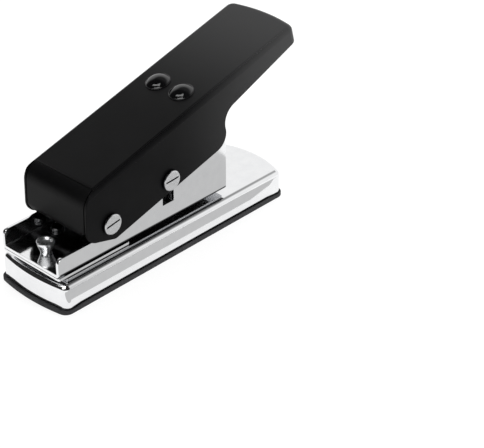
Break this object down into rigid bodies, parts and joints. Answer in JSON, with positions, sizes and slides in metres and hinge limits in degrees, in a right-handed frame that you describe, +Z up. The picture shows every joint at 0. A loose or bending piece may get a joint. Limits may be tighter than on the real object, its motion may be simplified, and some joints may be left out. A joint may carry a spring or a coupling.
{
  "type": "guitar pick punch",
  "caption": "Hand-lever punch that cuts guitar picks from thin plastic sheet: bright steel base on a rubber foot, slotted frame, black sheet-metal lever.",
  "frame": {"origin": "on the table under the middle of the whole punch's box at rest", "axes": "+X along the punch from the hinge end to the free end of the lever, +Y across it, +Z up"},
  "size_m": [0.146, 0.042, 0.0829],
  "materials": {
    "rubber": "matt moulded rubber",
    "chrome_plate": "bright plated sheet steel",
    "tool_steel": "ground tool steel",
    "bright_steel": "turned bright steel",
    "spring_steel": "drawn wire",
    "nylon": "natural nylon",
    "black_paint": "satin black baked paint",
    "black_gloss": "gloss black paint"
  },
  "bodies": {
    "base": {"rubber_foot": "rubber", "base_shell": "chrome_plate", "die_plate": "tool_steel", "lower_spacer_plate": "chrome_plate", "spacer_plate": "chrome_plate", "punch_frame": "chrome_plate", "frame_stud_front": "chrome_plate", "frame_stud_left": "chrome_plate", "frame_stud_right": "chrome_plate", "spring_seat_front": "bright_steel", "return_spring_front": "spring_steel", "spring_seat_rear": "bright_steel", "return_spring_rear": "spring_steel", "pivot_barrel": "bright_steel", "pivot_screw": "bright_steel", "pivot_washer_left": "nylon", "pivot_washer_right": "nylon"},
    "lever": {"lever_shell": "black_paint", "lever_brace": "tool_steel", "lever_rivet_left": "black_gloss", "lever_rivet_right": "black_gloss", "drive_barrel": "bright_steel", "drive_screw": "bright_steel"},
    "punch": {"pick_punch": "tool_steel", "punch_carrier": "tool_steel", "carrier_screw_front": "bright_steel", "carrier_screw_rear": "bright_steel"}
  },
  "joints": [
    {"name": "lever_hinge", "type": "hinge", "parent": "base", "child": "lever", "pos_m": [-0.0426, 0, 0.0316], "axis": [0, 1, 0], "range_deg": [0, 15.2], "stiffness_Nm_per_rad": 5.3, "springref_deg": -3.78},
    {"name": "punch_slide", "type": "slide", "parent": "base", "child": "punch", "axis": [0, 0, -1], "range_m": [0, 0.00919], "deforming": ["return_spring_front", "return_spring_rear"]}
  ],
  "couplings": [
    {"joint": "punch_slide", "follows": "lever_hinge", "m_per_rad": 0.034506}
  ]
}
